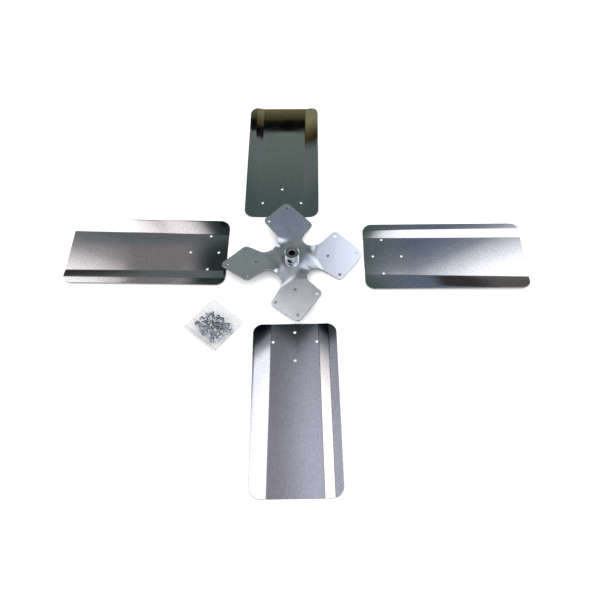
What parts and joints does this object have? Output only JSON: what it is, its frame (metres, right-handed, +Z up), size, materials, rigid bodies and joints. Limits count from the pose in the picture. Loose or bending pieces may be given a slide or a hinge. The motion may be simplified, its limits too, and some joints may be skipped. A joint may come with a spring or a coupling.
{
  "type": "four-blade propeller fan kit",
  "caption": "Propeller fan in kit form, laid out flat: pitched hub spider with bored boss, loose sheet-metal blades, and a clear bag of screws and nuts.",
  "frame": {"origin": "on the floor under the middle of the laid-out kit's plan", "axes": "+Z up, along the hub bore; +Y away from the viewer of the picture; +X to the right"},
  "size_m": [0.9254, 0.904, 0.0375],
  "materials": {
    "blade_sheet": "bright rolled",
    "spider_plating": "zinc plated, bright",
    "boss_steel": "turned and zinc plated",
    "set_screw_black": "black oxide",
    "fastener_zinc": "zinc plated, bright",
    "bag_film": "clear film"
  },
  "bodies": {
    "root": {"blade_top": "blade_sheet", "blade_right": "blade_sheet", "blade_bottom": "blade_sheet", "blade_left": "blade_sheet", "hub_spider": "spider_plating", "hub_boss": "boss_steel", "set_screw": "set_screw_black", "bag_back_film": "bag_film", "bag_front_film": "bag_film", "screw_01": "fastener_zinc", "screw_02": "fastener_zinc", "screw_03": "fastener_zinc", "screw_04": "fastener_zinc", "screw_05": "fastener_zinc", "screw_06": "fastener_zinc", "screw_07": "fastener_zinc", "screw_08": "fastener_zinc", "screw_09": "fastener_zinc", "screw_10": "fastener_zinc", "screw_11": "fastener_zinc", "screw_12": "fastener_zinc", "screw_13": "fastener_zinc", "screw_14": "fastener_zinc", "screw_15": "fastener_zinc", "screw_16": "fastener_zinc", "nut_01": "fastener_zinc", "nut_02": "fastener_zinc", "nut_03": "fastener_zinc", "nut_04": "fastener_zinc", "nut_05": "fastener_zinc", "nut_06": "fastener_zinc", "nut_07": "fastener_zinc", "nut_08": "fastener_zinc", "nut_09": "fastener_zinc", "nut_10": "fastener_zinc", "nut_11": "fastener_zinc", "nut_12": "fastener_zinc", "nut_13": "fastener_zinc", "nut_14": "fastener_zinc", "nut_15": "fastener_zinc", "nut_16": "fastener_zinc"}
  },
  "joints": []
}
